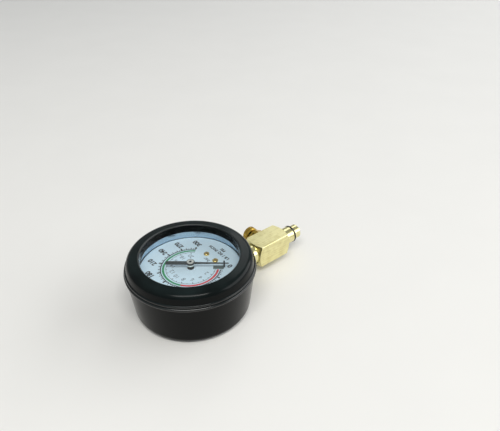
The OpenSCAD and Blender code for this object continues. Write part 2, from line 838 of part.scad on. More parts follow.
module socket() {
    chamber = 5;
    chamber_in = 20;
    color(brass_color) difference() {
        union() {
            translate([-socket_w / 2, -bar_end, socket_z])
                cube([socket_w, bar_end - socket_reach, socket_t]);
            translate([-foot_w / 2, -foot_mid - foot_len / 2, case_z + case_wall])
                cube([foot_w, foot_len, socket_z - case_z - case_wall]);
            along_stem(bar_end - cut) cylinder(d = shank_d, h = wrench_at - bar_end + 2 * cut);
            along_stem(wrench_at) translate([-wrench_af / 2, -wrench_af / 2, 0])
                cube([wrench_af, wrench_af, wrench_len]);
            along_stem(washer_at - cut) cylinder(d = stem_thread_d, h = stem_thread_len + washer_t + cut);
        }
        along_stem(tube_r) cylinder(d = port_d, h = nose_end);
        translate([0, 0, stem_h]) rotate(tube_sweep - chamber_in)
            rotate_extrude(angle = chamber_in + chamber) tube_section(fit);
        for (p = movement_screw_points)
            post(p, small_screw_d / 2 + fit, gear_z - movement_screw_len, back_plate_z + cut);
        for (d = socket_screw_at)
            post([0, -d], socket_screw_d / 2 + fit, case_z, case_z + case_wall + socket_screw_depth);
    }
}

module socket_screws() {
    color(steel_color) for (d = socket_screw_at) {
        post([0, -d], socket_screw_d / 2, case_z, case_z + case_wall + socket_screw_depth);
        translate([0, -d, case_z]) rotate([180, 0, 0]) screw_head(socket_head_d, socket_head_h);
    }
}

module stem_washer() {
    color(gold_color) along_stem(washer_at) ring(washer_d / 2, stem_thread_d / 2 + fit, washer_t);
}

// Square bar with broken edges and conical turned ends
module turned_bar() {
    half = block_af / 2;
    corner_r = half * sqrt(2);
    face_r = block_face_d / 2;
    fall = (corner_r - face_r) * tan(block_chamfer);
    intersection() {
        linear_extrude(block_len) polygon(joined([for (i = [0 : 3])
            let (c = cos(90 * i), s = sin(90 * i), e = half - block_edge)
            [[half * c + e * s, half * s - e * c], [half * c - e * s, half * s + e * c]]]));
        rotate_extrude() polygon([
            [0, 0], [face_r, 0], [corner_r, fall],
            [corner_r, block_len - fall], [face_r, block_len], [0, block_len]]);
    }
}

module manifold_block() {
    thread_relief = 0.5;
    thread_depth = stem_thread_len + thread_relief;
    nose_wall = 5;
    color(brass_color) difference() {
        union() {
            along_stem(shoulder_at) turned_bar();
            along_stem(block_at) cylinder(d = gauge_neck_d, h = gauge_neck_len + root);
            along_stem(block_end) rotate_extrude() polygon([
                [0, -root], [hose_neck_d / 2, -root], [hose_neck_d / 2, hose_neck_len],
                [groove_r, hose_neck_len], [groove_r, hose_neck_len + groove_w],
                [nose_d / 2, hose_neck_len + groove_w],
                [nose_d / 2, nose_end - block_end - nose_chamfer],
                [nose_d / 2 - nose_chamfer, nose_end - block_end], [0, nose_end - block_end]]);
        }
        along_stem(block_at - cut) cylinder(d = stem_thread_d + 2 * fit, h = thread_depth + cut);
        along_stem(block_at) cylinder(d = block_bore_d, h = block_end - block_at - nose_wall);
        along_stem(block_at) cylinder(d = nose_bore_d, h = nose_end - block_at + cut);
        along_valve(0) cylinder(d = valve_thread_d, h = valve_face + cut);
    }
}

module nose_o_ring() {
    color(black_color) along_stem(groove_at + groove_w / 2) rotate_extrude()
        translate([(oring_d - oring_section) / 2, 0]) circle(d = oring_section);
}

module valve_body() {
    color(gold_color) difference() {
        union() {
            along_valve(valve_seat) cylinder(d = valve_thread_d - 2 * fit, h = valve_seat_depth);
            along_valve(valve_face)
                cylinder(d = valve_collar_af / cos(30), h = valve_collar_h, $fn = 6);
        }
        along_valve(valve_seat - cut)
            cylinder(r = valve_stem_d / 2 + fit, h = collar_top - valve_seat + 2 * cut);
        along_valve(spring_pocket) cylinder(r = spring_pocket_r, h = collar_top - spring_pocket + cut);
        along_valve(collar_top - vent_below) rotate(vent_turn) rotate([0, 90, 0])
            cylinder(d = vent_d, h = valve_collar_af);
    }
}

module valve_stem() {
    color(steel_color) along_valve(valve_flange_at) {
        cylinder(d = valve_stem_d, h = valve_stem_end - valve_flange_at);
        cylinder(d = valve_flange_d, h = valve_flange_t);
    }
}

module valve_seal() {
    color(black_color) along_valve(valve_flange_at + valve_flange_t)
        ring(valve_flange_d / 2, valve_stem_d / 2 + fit, valve_seal_t);
}

module valve_spring() {
    turn_steps = 20;
    sides = 8;
    steps = turn_steps * spring_turns;
    span = button_at + button_recess - spring_pocket - spring_wire - 2 * fit;
    color(steel_color) along_valve(spring_pocket + fit + spring_wire / 2)
        polyhedron(
            points = coil_points(spring_r, spring_wire / 2, span / spring_turns, steps, turn_steps, sides),
            faces = coil_faces(steps, sides));
}

module valve_button() {
    edge = 0.5;
    r = button_d / 2;
    color(gold_color) difference() {
        along_valve(button_at) rotate_extrude() polygon([
            [0, 0], [r - edge, 0], [r, edge], [r, button_t - edge], [r - edge, button_t], [0, button_t]]);
        for (i = [0 : button_flutes - 1])
            along_valve(button_at - cut) rotate(360 * i / button_flutes) translate([r, 0, 0])
                cylinder(r = flute_r, h = button_t + 2 * cut, $fn = 24);
        along_valve(button_at - cut) cylinder(r = spring_pocket_r, h = button_recess + cut);
        along_valve(button_at) cylinder(r = valve_stem_d / 2 + fit, h = valve_stem_end - button_at);
    }
}

rubber_boot();
gauge_case();
bezel_ring();
lens();
lens_gasket();
dial();
dial_spacers();
dial_screws();
stop_pin();
pointer();
pointer_hub();
pointer_arbor();
hairspring_collet();
hairspring();
hairspring_stud();
front_plate();
back_plate();
plate_pillars();
plate_screws();
movement_screws();
sector_gear();
sector_arbor();
link_pin();
link_bar();
tube_tip();
tip_pin();
bourdon_tube();
socket();
socket_screws();
stem_washer();
manifold_block();
nose_o_ring();
valve_body();
valve_stem();
valve_seal();
valve_spring();
valve_button();
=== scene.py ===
"""Looks of a compression tester gauge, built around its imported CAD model.

The gauge lies on its back: +Z points out of the dial and +Y is the top of the dial. Sizes are
in millimetres and are turned to metres where a mesh is made.
"""

import math

import bmesh
import bpy
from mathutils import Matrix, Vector


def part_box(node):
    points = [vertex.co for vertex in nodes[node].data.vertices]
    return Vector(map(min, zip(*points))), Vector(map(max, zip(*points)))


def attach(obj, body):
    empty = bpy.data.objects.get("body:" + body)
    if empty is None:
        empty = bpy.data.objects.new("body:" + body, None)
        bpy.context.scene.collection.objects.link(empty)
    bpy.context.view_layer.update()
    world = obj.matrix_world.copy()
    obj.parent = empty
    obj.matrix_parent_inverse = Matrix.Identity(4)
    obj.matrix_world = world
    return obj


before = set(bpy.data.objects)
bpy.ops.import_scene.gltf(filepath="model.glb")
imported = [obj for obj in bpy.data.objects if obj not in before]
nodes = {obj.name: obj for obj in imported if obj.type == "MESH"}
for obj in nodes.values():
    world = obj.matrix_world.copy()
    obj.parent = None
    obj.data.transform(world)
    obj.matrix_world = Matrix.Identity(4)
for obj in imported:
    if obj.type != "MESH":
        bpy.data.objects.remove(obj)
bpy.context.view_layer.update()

MM = 0.001

# Places that the CAD model gives
_, dial_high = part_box("dial")
block_low, block_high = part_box("manifold_block")
valve_low, valve_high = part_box("valve_body")
DIAL_FACE = dial_high.z / MM
STEM_HEIGHT = (block_low.z + block_high.z) / 2 / MM
VALVE_Y = (valve_low.y + valve_high.y) / 2 / MM

# The square bar of the block, along Y, between its turned neck at the stem and its turned nose
NECK_LEN = 3.6
NOSE_LEN = 14.4
BAR_START = block_high.y / MM - NECK_LEN
BAR_END = block_low.y / MM + NOSE_LEN

# The boot, by distance from the dial's axis: its beads, and the middle of the window's round edge
BEADS_FROM = 39.5
WINDOW_EDGE = 30.8

# Scale of the dial: 0 stands where the needle rests and the values run clockwise to its limit
ZERO_ANGLE = 228.7
SWEEP = 274
FULL_PSI = 300
PSI_PER_BAR = 14.504
FULL_BAR = int(FULL_PSI / PSI_PER_BAR)
DANGER_BELOW = 115
# Pressure at which the zero box ends and the printed lines begin
LINES_FROM = 5.6

# Print on the dial. The ink stands as far out of the dial's face as it reaches into it.
INK = 0.02
RING_IN, RING_OUT = 18.2, 18.8
BAND_IN, BAND_OUT = 16.3, 17.6
BAR_ARC_IN, BAR_ARC_OUT = 15.1, 15.4
BOX_IN, BOX_OUT, BOX_WIDTH = 13.8, 20.4, 3.4
BOX_ANGLE = math.radians(230.5)
# Pressures between the ticks of the outer scale, and the outer end and width of each kind of tick
MINOR_STEP, MIDDLE_STEP, MAJOR_STEP = 5, 10, 30
MINOR_TICK, MIDDLE_TICK, MAJOR_TICK = (19.6, 0.4), (20.1, 0.55), (20.8, 1.1)
# The inner scale's ticks: their outer end, and the inner end and width of each kind
BAR_TICK_END = 15.2
ODD_BAR_TICK, EVEN_BAR_TICK = (14.5, 0.3), (14.0, 0.5)
# Figures: size of the letters, how far they are thickened, and distance from the dial's axis
PSI_SIZE, PSI_WEIGHT, PSI_RADIUS = 4.4, 0.2, 25
ZERO_RADIUS, ZERO_FIGURE_ANGLE = 24.2, math.radians(233)
BAR_SIZE, BAR_WEIGHT, BAR_RADIUS = 3.9, 0, 11.4
UNIT_SIZE, UNIT_WEIGHT, UNIT_SPACING = 2.8, 0.15, 1.16
BAR_UNIT_SIZE, BAR_UNIT_WEIGHT, BAR_UNIT_SPACING = 3.4, 0.07, 1.12
BAR_UNIT_AT = (0.2, -12.2)

# Camera that gives the photograph's view
CAMERA_AT = Vector((-217.06, 138.79, 235.27)) * MM
CAMERA_AIM = Vector((13.66, -59.84, 34.0)) * MM
CAMERA_LENS = 38.25


def linear(colour):
    """Linear RGBA of an sRGB hex colour."""
    channels = [int(colour[i : i + 2], 16) / 255 for i in (1, 3, 5)]
    return [c / 12.92 if c <= 0.04045 else ((c + 0.055) / 1.055) ** 2.4 for c in channels] + [1]


def add(tree, kind, inputs=None, **settings):
    """Adds a node. Each input is a value, or the output of another node that is linked to it."""
    node = tree.nodes.new("ShaderNode" + kind)
    for name, value in settings.items():
        setattr(node, name, value)
    for name, value in (inputs or {}).items():
        if isinstance(value, bpy.types.NodeSocket):
            tree.links.new(value, node.inputs[name])
        else:
            node.inputs[name].default_value = value
    return node


def new_material(name):
    """An empty material and its node tree."""
    material = bpy.data.materials.new(name)
    material.use_nodes = True
    material.node_tree.nodes.clear()
    return material, material.node_tree


def per_mm(size):
    """Scale of a pattern whose grain is this many millimetres across, on coordinates in metres."""
    return 1 / (size * MM)


def moulded_rubber(name, colour, bloom_and_sheen, grain, roughness):
    """Nitrile rubber pressed in a polished mould. It is black and satin, and its fine grain softens
    the highlights. Faces that look up are greyed partly by a wax film and partly by a painted sheen
    of the light from above. The beads, which stand out furthest from the dial's axis, and the edge
    round the window are rubbed shiny by hands."""
    material, tree = new_material(name)
    place = add(tree, "TexCoord").outputs["Object"]
    facing = add(tree, "SeparateXYZ", {"Vector": add(tree, "NewGeometry").outputs["Normal"]})
    patches = add(tree, "TexNoise", {"Vector": place, "Scale": per_mm(14), "Detail": 4})
    upward = add(tree, "MapRange", {"Value": facing.outputs["Z"], "From Min": 0.1, "From Max": 1})
    # Faces that look up take the lighter colour. It is partly a wax film and partly a painted sheen
    # of the light from above.
    dust_and_sheen = add(
        tree, "Math", {0: upward.outputs[0], 1: patches.outputs["Fac"]}, operation="MULTIPLY"
    )
    shade = add(
        tree,
        "Mix",
        {"Factor": dust_and_sheen.outputs[0], "A": linear(colour), "B": linear(bloom_and_sheen)},
        data_type="RGBA",
    )
    # Such grain is usually about 0.1 mm. It is drawn coarser, and even so it isn't made out in
    # the main view, where it only changes the highlights a little.
    pits = add(tree, "TexNoise", {"Vector": place, "Scale": per_mm(grain), "Detail": 2})
    gloss = add(
        tree,
        "MapRange",
        {
            "Value": patches.outputs["Fac"],
            "From Min": 0.3,
            "From Max": 0.7,
            "To Min": roughness - 0.06,
            "To Max": roughness + 0.06,
        },
    )
    bump = add(
        tree, "Bump", {"Height": pits.outputs["Fac"], "Strength": 0.25, "Distance": 0.03 * MM}
    )
    level = add(tree, "VectorMath", {0: place, 1: (1, 1, 0)}, operation="MULTIPLY")
    from_axis = add(tree, "VectorMath", {0: level.outputs[0]}, operation="LENGTH")
    on_bead = add(
        tree,
        "MapRange",
        {
            "Value": from_axis.outputs["Value"],
            "From Min": BEADS_FROM * MM,
            "From Max": (BEADS_FROM + 0.4) * MM,
        },
    )
    at_window = add(
        tree,
        "Math",
        {0: from_axis.outputs["Value"], 1: WINDOW_EDGE * MM, 2: 0.4 * MM},
        operation="COMPARE",
    )
    rubbed = add(
        tree, "Math", {0: on_bead.outputs[0], 1: at_window.outputs[0]}, operation="MAXIMUM"
    )
    sheen = add(tree, "MapRange", {"Value": rubbed.outputs[0], "To Min": 0.12, "To Max": 0.6})
    # The window's edge is scuffed too, which widens its highlight
    scuffed = add(
        tree,
        "Math",
        {0: at_window.outputs[0], 1: 0.2, 2: gloss.outputs[0]},
        operation="MULTIPLY_ADD",
    )
    shader = add(
        tree,
        "BsdfPrincipled",
        {
            "Base Color": shade.outputs["Result"],
            "Roughness": scuffed.outputs[0],
            "Specular IOR Level": sheen.outputs[0],
            "Normal": bump.outputs[0],
        },
    )
    add(tree, "OutputMaterial", {"Surface": shader.outputs[0]})
    return material


def turned_metal(name, colour, dark, axis, centre, step, roughness):
    """Bar metal turned in a lathe. The tool leaves fine rings about the axis, which draw the
    highlights out across them and hold a little tarnish."""
    material, tree = new_material(name)
    place = add(tree, "TexCoord").outputs["Object"]
    from_centre = add(
        tree, "VectorMath", {0: place, 1: [c * MM for c in centre]}, operation="SUBTRACT"
    ).outputs[0]
    along = add(
        tree, "VectorMath", {0: from_centre, 1: axis}, operation="DOT_PRODUCT"
    ).outputs["Value"]
    across = add(
        tree, "VectorMath", {0: from_centre, 1: [1 - abs(a) for a in axis]}, operation="MULTIPLY"
    ).outputs[0]
    radius = add(tree, "VectorMath", {0: across}, operation="LENGTH").outputs["Value"]
    path = add(tree, "Math", {0: along, 1: radius}, operation="ADD").outputs[0]
    # A usual tool feed is about 0.1 mm. The rings are drawn coarser, and even so they are finer
    # than a pixel of the main view, where they only change the highlights a little.
    rings = add(
        tree, "TexNoise", {"W": path, "Scale": per_mm(step), "Detail": 3}, noise_dimensions="1D"
    )
    stains = add(tree, "TexNoise", {"Vector": place, "Scale": per_mm(5), "Detail": 4})
    tarnish = add(
        tree,
        "MapRange",
        {"Value": stains.outputs["Fac"], "From Min": 0.45, "From Max": 0.75, "To Max": 0.5},
    )
    shade = add(
        tree,
        "Mix",
        {"Factor": tarnish.outputs[0], "A": linear(colour), "B": linear(dark)},
        data_type="RGBA",
    )
    gloss = add(
        tree,
        "MapRange",
        {
            "Value": rings.outputs["Fac"],
            "From Min": 0.3,
            "From Max": 0.7,
            "To Min": roughness - 0.06,
            "To Max": roughness + 0.08,
        },
    )
    bump = add(
        tree, "Bump", {"Height": rings.outputs["Fac"], "Strength": 0.3, "Distance": 0.02 * MM}
    )
    shader = add(
        tree,
        "BsdfPrincipled",
        {
            "Base Color": shade.outputs["Result"],
            "Metallic": 1,
            "Roughness": gloss.outputs[0],
            "Normal": bump.outputs[0],
        },
    )
    add(tree, "OutputMaterial", {"Surface": shader.outputs[0]})
    return material


def drawn_bar_brass(name, colour, dark, roughness):
    """Square brass bar, drawn through a die and left satin, with ends turned in a lathe. The flats
    have fine lines along the bar and faint smudges; the necks have rings round them."""
    material, tree = new_material(name)
    place = add(tree, "TexCoord").outputs["Object"]
    parts = add(tree, "SeparateXYZ", {"Vector": place})
    # Drawing lines are usually about 0.05 mm apart. They are drawn coarser, 0.3 mm apart across
    # the bar and 15 mm long along it, which shows up close and only faintly in the main view.
    stretched = add(tree, "VectorMath", {0: place, 1: (1, 0.02, 1)}, operation="MULTIPLY")
    lines = add(
        tree, "TexNoise", {"Vector": stretched.outputs[0], "Scale": per_mm(0.3), "Detail": 3}
    )
    rings = add(
        tree,
        "TexNoise",
        {"W": parts.outputs["Y"], "Scale": per_mm(0.3), "Detail": 2},
        noise_dimensions="1D",
    )
    middle = (BAR_START + BAR_END) / 2 * MM
    half = (BAR_START - BAR_END) / 2 * MM
    on_bar = add(
        tree,
        "Math",
        {0: parts.outputs["Y"], 1: middle, 2: half},
        operation="COMPARE",
    )
    marks = add(
        tree,
        "Mix",
        {"Factor": on_bar.outputs[0], "A": rings.outputs["Fac"], "B": lines.outputs["Fac"]},
    )
    smudges = add(tree, "TexNoise", {"Vector": place, "Scale": per_mm(4), "Detail": 5})
    stains = add(
        tree,
        "Math",
        {0: smudges.outputs["Fac"], 1: marks.outputs["Result"]},
        operation="ADD",
    )
    tarnish = add(
        tree,
        "MapRange",
        {"Value": stains.outputs[0], "From Min": 0.85, "From Max": 1.3, "To Max": 0.55},
    )
    shade = add(
        tree,
        "Mix",
        {"Factor": tarnish.outputs[0], "A": linear(colour), "B": linear(dark)},
        data_type="RGBA",
    )
    satin = add(
        tree,
        "MapRange",
        {"Value": on_bar.outputs[0], "To Min": roughness - 0.16, "To Max": roughness},
    )
    gloss = add(
        tree,
        "MapRange",
        {
            "Value": marks.outputs["Result"],
            "From Min": 0.3,
            "From Max": 0.7,
            "To Min": -0.05,
            "To Max": 0.07,
        },
    )
    rough = add(tree, "Math", {0: satin.outputs[0], 1: gloss.outputs[0]}, operation="ADD")
    bump = add(
        tree, "Bump", {"Height": marks.outputs["Result"], "Strength": 0.5, "Distance": 0.03 * MM}
    )
    shader = add(
        tree,
        "BsdfPrincipled",
        {
            "Base Color": shade.outputs["Result"],
            "Metallic": 1,
            "Roughness": rough.outputs[0],
            "Normal": bump.outputs[0],
        },
    )
    add(tree, "OutputMaterial", {"Surface": shader.outputs[0]})
    return material


def drawn_steel(name, colour, dark, roughness):
    """Steel sheet drawn into a cup, with a cool clear lacquer. The die leaves level lines round
    the wall, which streak its reflections."""
    material, tree = new_material(name)
    place = add(tree, "TexCoord").outputs["Object"]
    parts = add(tree, "SeparateXYZ", {"Vector": place})
    # Such lines are usually about 0.1 mm apart. They are drawn at 0.5 mm, which shows as faint
    # streaks up close.
    lines = add(
        tree,
        "TexNoise",
        {"W": parts.outputs["Z"], "Scale": per_mm(0.5), "Detail": 2},
        noise_dimensions="1D",
    )
    shade = add(
        tree,
        "Mix",
        {"Factor": lines.outputs["Fac"], "A": linear(colour), "B": linear(dark)},
        data_type="RGBA",
    )
    gloss = add(
        tree,
        "MapRange",
        {"Value": lines.outputs["Fac"], "To Min": roughness - 0.1, "To Max": roughness + 0.1},
    )
    bump = add(
        tree, "Bump", {"Height": lines.outputs["Fac"], "Strength": 0.2, "Distance": 0.05 * MM}
    )
    shader = add(
        tree,
        "BsdfPrincipled",
        {
            "Base Color": shade.outputs["Result"],
            "Metallic": 1,
            "Roughness": gloss.outputs[0],
            "Normal": bump.outputs[0],
        },
    )
    add(tree, "OutputMaterial", {"Surface": shader.outputs[0]})
    return material


def fine_metal(name, colour, dark, grain, roughness):
    """Stamped, plated or ground metal of the small inner pieces. A fine grain mottles its gloss."""
    material, tree = new_material(name)
    place = add(tree, "TexCoord").outputs["Object"]
    mottle = add(tree, "TexNoise", {"Vector": place, "Scale": per_mm(grain), "Detail": 4})
    shade = add(
        tree,
        "Mix",
        {"Factor": mottle.outputs["Fac"], "A": linear(colour), "B": linear(dark)},
        data_type="RGBA",
    )
    gloss = add(
        tree,
        "MapRange",
        {"Value": mottle.outputs["Fac"], "To Min": roughness - 0.1, "To Max": roughness + 0.1},
    )
    bump = add(
        tree, "Bump", {"Height": mottle.outputs["Fac"], "Strength": 0.15, "Distance": 0.02 * MM}
    )
    shader = add(
        tree,
        "BsdfPrincipled",
        {
            "Base Color": shade.outputs["Result"],
            "Metallic": 1,
            "Roughness": gloss.outputs[0],
            "Normal": bump.outputs[0],
        },
    )
    add(tree, "OutputMaterial", {"Surface": shader.outputs[0]})
    return material


def faced_hub(name, colour, lacquer, top_radius, barrel_radius):
    """Turned brass hub, dipped in black lacquer and then faced bright on top in a lathe. Its rim is
    black, the top has fine rings, and the barrel below the needle is bare."""
    material, tree = new_material(name)
    place = add(tree, "TexCoord").outputs["Object"]
    facing = add(tree, "SeparateXYZ", {"Vector": add(tree, "NewGeometry").outputs["Normal"]})
    level = add(tree, "VectorMath", {0: place, 1: (1, 1, 0)}, operation="MULTIPLY")
    radius = add(tree, "VectorMath", {0: level.outputs[0]}, operation="LENGTH").outputs["Value"]
    within = add(tree, "Math", {0: radius, 1: top_radius * MM}, operation="LESS_THAN")
    on_top = add(tree, "Math", {0: facing.outputs["Z"], 1: 0.7}, operation="GREATER_THAN")
    top = add(tree, "Math", {0: within.outputs[0], 1: on_top.outputs[0]}, operation="MULTIPLY")
    barrel = add(tree, "Math", {0: radius, 1: barrel_radius * MM}, operation="LESS_THAN")
    bare = add(tree, "Math", {0: top.outputs[0], 1: barrel.outputs[0]}, operation="MAXIMUM")
    # A usual tool feed is about 0.1 mm. The rings are drawn at 0.25 mm, and even so they are
    # finer than a pixel of the main view, where they only change the highlight a little.
    rings = add(
        tree, "TexNoise", {"W": radius, "Scale": per_mm(0.25), "Detail": 3}, noise_dimensions="1D"
    )
    shade = add(
        tree,
        "Mix",
        {"Factor": bare.outputs[0], "A": linear(lacquer), "B": linear(colour)},
        data_type="RGBA",
    )
    gloss = add(tree, "MapRange", {"Value": rings.outputs["Fac"], "To Min": 0.22, "To Max": 0.42})
    bump = add(
        tree, "Bump", {"Height": rings.outputs["Fac"], "Strength": 0.3, "Distance": 0.02 * MM}
    )
    shader = add(
        tree,
        "BsdfPrincipled",
        {
            "Base Color": shade.outputs["Result"],
            "Metallic": bare.outputs[0],
            "Roughness": gloss.outputs[0],
            "Normal": bump.outputs[0],
        },
    )
    add(tree, "OutputMaterial", {"Surface": shader.outputs[0]})
    return material


def baked_coat(name, colour, shadow, grain, roughness):
    """Stove enamel, lacquer or screen ink on sheet metal. It is even, with the slight waviness of
    a baked coat and a faint mottle."""
    material, tree = new_material(name)
    place = add(tree, "TexCoord").outputs["Object"]
    mottle = add(tree, "TexNoise", {"Vector": place, "Scale": per_mm(grain), "Detail": 3})
    shade = add(
        tree,
        "Mix",
        {"Factor": mottle.outputs["Fac"], "A": linear(colour), "B": linear(shadow)},
        data_type="RGBA",
    )
    gloss = add(
        tree,
        "MapRange",
        {"Value": mottle.outputs["Fac"], "To Min": roughness - 0.08, "To Max": roughness + 0.08},
    )
    bump = add(
        tree, "Bump", {"Height": mottle.outputs["Fac"], "Strength": 0.1, "Distance": 0.02 * MM}
    )
    shader = add(
        tree,
        "BsdfPrincipled",
        {
            "Base Color": shade.outputs["Result"],
            "Roughness": gloss.outputs[0],
            "Normal": bump.outputs[0],
        },
    )
    add(tree, "OutputMaterial", {"Surface": shader.outputs[0]})
    return material


def clear_acrylic(name):
    """Cast acrylic sheet: clear and polished, with a faint haze of wiping marks. Lamps shine
    through it on to the dial."""
    material, tree = new_material(name)
    place = add(tree, "TexCoord").outputs["Object"]
    wiped = add(tree, "VectorMath", {0: place, 1: (1, 0.2, 1)}, operation="MULTIPLY")
    haze = add(tree, "TexNoise", {"Vector": wiped.outputs[0], "Scale": per_mm(9), "Detail": 4})
    gloss = add(
        tree,
        "MapRange",
        {"Value": haze.outputs["Fac"], "From Min": 0.4, "From Max": 0.8, "To Max": 0.05},
    )
    shader = add(
        tree,
        "BsdfPrincipled",
        {
            "Base Color": linear("#fafdff"),
            "Roughness": gloss.outputs[0],
            "IOR": 1.49,
            "Transmission Weight": 1,
        },
    )
    passing = add(tree, "BsdfTransparent")
    path = add(tree, "LightPath").outputs
    # Light on its way to the dial goes straight through. Bounced light does too, because the lamps
    # would otherwise be counted twice, once by each way.
    lit = add(
        tree, "Math", {0: path["Is Shadow Ray"], 1: path["Is Diffuse Ray"]}, operation="MAXIMUM"
    )
    pane = add(tree, "MixShader", {0: lit.outputs[0], 1: shader.outputs[0], 2: passing.outputs[0]})
    add(tree, "OutputMaterial", {"Surface": pane.outputs[0]})
    return material


VALVE_AXIS = (1, 0, 0)
VALVE_CENTRE = (0, VALVE_Y, STEM_HEIGHT)
STEM_AXIS = (0, 1, 0)
STEM_CENTRE = (0, 0, STEM_HEIGHT)

# The boot is shinier than the seals, which are dull and even
# The second colour of each is greyed by wax and by a painted sheen, and is laid on the faces that
# look up.
boot_rubber = moulded_rubber("boot_nitrile_rubber", "#040505", "#1d2828", 0.7, 0.18)
seal_rubber = moulded_rubber("seal_nitrile_rubber", "#060707", "#0d0f10", 0.4, 0.3)
# The steel's lacquer is bluish, and so is the dial's white enamel
case_steel = drawn_steel("lacquered_case_steel", "#d3dfe9", "#9fb4c6", 0.22)
lens_acrylic = clear_acrylic("clear_cast_acrylic")
dial_enamel = baked_coat("white_dial_enamel", "#cee4ef", "#c6deea", 6, 0.4)
pointer_lacquer = baked_coat("black_pointer_lacquer", "#0b1110", "#142020", 2, 0.4)
# Brass is pale where it is drawn and satin, and golden where it is turned and bright
bar_brass = drawn_bar_brass("drawn_bar_brass", "#efe8b2", "#bdae68", 0.36)
stem_brass = turned_metal(
    "turned_stem_brass", "#dccd83", "#a8913f", STEM_AXIS, STEM_CENTRE, 0.3, 0.3
)
valve_brass = turned_metal(
    "turned_valve_brass", "#d4b254", "#94762f", VALVE_AXIS, VALVE_CENTRE, 0.3, 0.22
)
hub_brass = faced_hub("faced_hub_brass", "#f3f2e6", "#0c1010", 2.15, 1.9)
movement_brass = fine_metal("stamped_movement_brass", "#dcc06a", "#b89743", 1.5, 0.36)
screw_brass = fine_metal("lacquered_screw_brass", "#e6cf84", "#b8964a", 0.8, 0.24)
pin_brass = fine_metal("blackened_pin_brass", "#23272a", "#15181a", 0.6, 0.3)
# Steel is dark blue where it is tempered, and grey where it is plated
blued_steel = fine_metal("blued_arbor_steel", "#3a4249", "#262c32", 0.6, 0.3)
plated_steel = fine_metal("zinc_plated_steel", "#c3c9cd", "#8f979d", 0.8, 0.32)
spring_steel = fine_metal("tempered_spring_steel", "#9fb0c0", "#5f7080", 1, 0.28)
# Inks are even and nearly matt
black_ink = baked_coat("black_screen_ink", "#0c0d0f", "#151719", 1.2, 0.5)
grey_ink = baked_coat("grey_screen_ink", "#55626a", "#65737a", 1.2, 0.5)
slate_ink = baked_coat("slate_screen_ink", "#42524f", "#4c5e5b", 1.2, 0.6)
green_ink = baked_coat("green_screen_ink", "#12834d", "#1a8f57", 1.2, 0.5)
red_ink = baked_coat("red_screen_ink", "#c8282f", "#d2363b", 1.2, 0.5)

FINISHES = {
    boot_rubber: ["rubber_boot"],
    seal_rubber: ["lens_gasket", "nose_o_ring", "valve_seal"],
    case_steel: ["gauge_case", "bezel_ring"],
    lens_acrylic: ["lens"],
    dial_enamel: ["dial"],
    pointer_lacquer: ["pointer"],
    bar_brass: ["manifold_block"],
    stem_brass: ["socket", "stem_washer"],
    valve_brass: ["valve_body", "valve_button"],
    hub_brass: ["pointer_hub"],
    movement_brass: [
        "front_plate",
        "back_plate",
        "plate_pillars",
        "dial_spacers",
        "sector_gear",
        "link_bar",
        "tube_tip",
        "bourdon_tube",
        "hairspring_collet",
        "hairspring_stud",
    ],
    screw_brass: ["dial_screws"],
    pin_brass: ["stop_pin"],
    blued_steel: ["pointer_arbor", "sector_arbor"],
    plated_steel: [
        "plate_screws",
        "movement_screws",
        "socket_screws",
        "link_pin",
        "tip_pin",
        "valve_stem",
    ],
    spring_steel: ["hairspring", "valve_spring"],
}

for finish, names in FINISHES.items():
    for name in names:
        mesh = nodes[name].data
        mesh.materials.clear()
        mesh.materials.append(finish)


def scale_angle(psi):
    """Angle of a pressure on the dial, in radians from three o'clock."""
    return math.radians(ZERO_ANGLE - SWEEP * psi / FULL_PSI)


def printed(name, build, ink):
    """A layer of ink on the dial, made by build on an empty mesh. Its z is 0 at the dial's face."""
    layer = bmesh.new()
    build(layer)
    bmesh.ops.recalc_face_normals(layer, faces=layer.faces)
    mesh = bpy.data.meshes.new(name)
    layer.to_mesh(mesh)
    layer.free()
    mesh.materials.append(ink)
    piece = bpy.data.objects.new(name, mesh)
    bpy.context.scene.collection.objects.link(piece)
    piece.location.z = DIAL_FACE * MM
    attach(piece, "gauge")


def lay_patch(layer, corners):
    """A thin closed block of ink over four corners, in millimetres."""
    low = [layer.verts.new((x * MM, y * MM, -INK * MM)) for x, y in corners]
    high = [layer.verts.new((x * MM, y * MM, INK * MM)) for x, y in corners]
    layer.faces.new(low[::-1])
    layer.faces.new(high)
    for i in range(4):
        j = (i + 1) % 4
        layer.faces.new((low[i], low[j], high[j], high[i]))


def at(radius, angle):
    """Place on the dial, in millimetres."""
    return radius * math.cos(angle), radius * math.sin(angle)


def lay_arc(layer, r_in, r_out, psi_from, psi_to, step=1.5):
    """A band of ink along the scale, as one closed ring of thin blocks that share their ends."""
    count = max(2, round(abs(psi_to - psi_from) / step))
    rows = []
    for i in range(count + 1):
        angle = scale_angle(psi_from + (psi_to - psi_from) * i / count)
        rows.append([
            layer.verts.new((*(c * MM for c in at(r, angle)), z * MM))
            for r, z in ((r_in, -INK), (r_out, -INK), (r_out, INK), (r_in, INK))
        ])
    for here, there in zip(rows, rows[1:]):
        for i in range(4):
            j = (i + 1) % 4
            layer.faces.new((here[i], here[j], there[j], there[i]))
    layer.faces.new(rows[0])
    layer.faces.new(rows[-1][::-1])


def lay_tick(layer, r_in, r_out, width, angle):
    """A tick that points at the dial's centre."""
    side = (-math.sin(angle) * width / 2, math.cos(angle) * width / 2)
    inner, outer = at(r_in, angle), at(r_out, angle)
    lay_patch(layer, [
        (inner[0] - side[0], inner[1] - side[1]),
        (outer[0] - side[0], outer[1] - side[1]),
        (outer[0] + side[0], outer[1] + side[1]),
        (inner[0] + side[0], inner[1] + side[1]),
    ])


